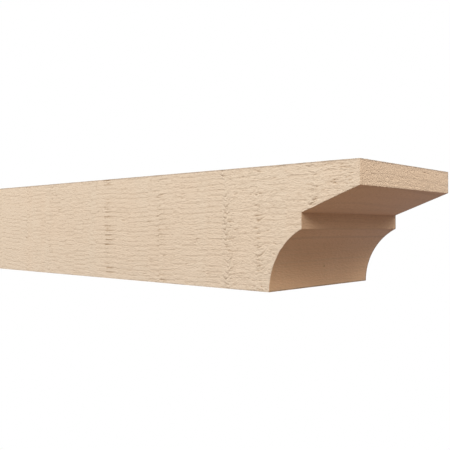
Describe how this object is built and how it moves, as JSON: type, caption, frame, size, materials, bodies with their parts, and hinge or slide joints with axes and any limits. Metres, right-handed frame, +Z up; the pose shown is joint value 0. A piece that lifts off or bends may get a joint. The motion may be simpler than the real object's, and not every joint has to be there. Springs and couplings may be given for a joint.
{
  "type": "rafter tail",
  "caption": "Short rough-sawn timber laid flat, its front end cut across to a square lip, sloping soffit, narrow fillet and hollow cove; closes a rafter line under the eaves.",
  "frame": {"origin": "on the underside, at the middle of the timber's length and width, level with the surface it lies on", "axes": "+X along the timber towards the shaped front end, +Y across its width, +Z up"},
  "size_m": [0.6096, 0.1524, 0.1016],
  "materials": {
    "rough_sawn_timber": "matte"
  },
  "bodies": {
    "root": {"rafter_tail": "rough_sawn_timber"}
  },
  "joints": []
}
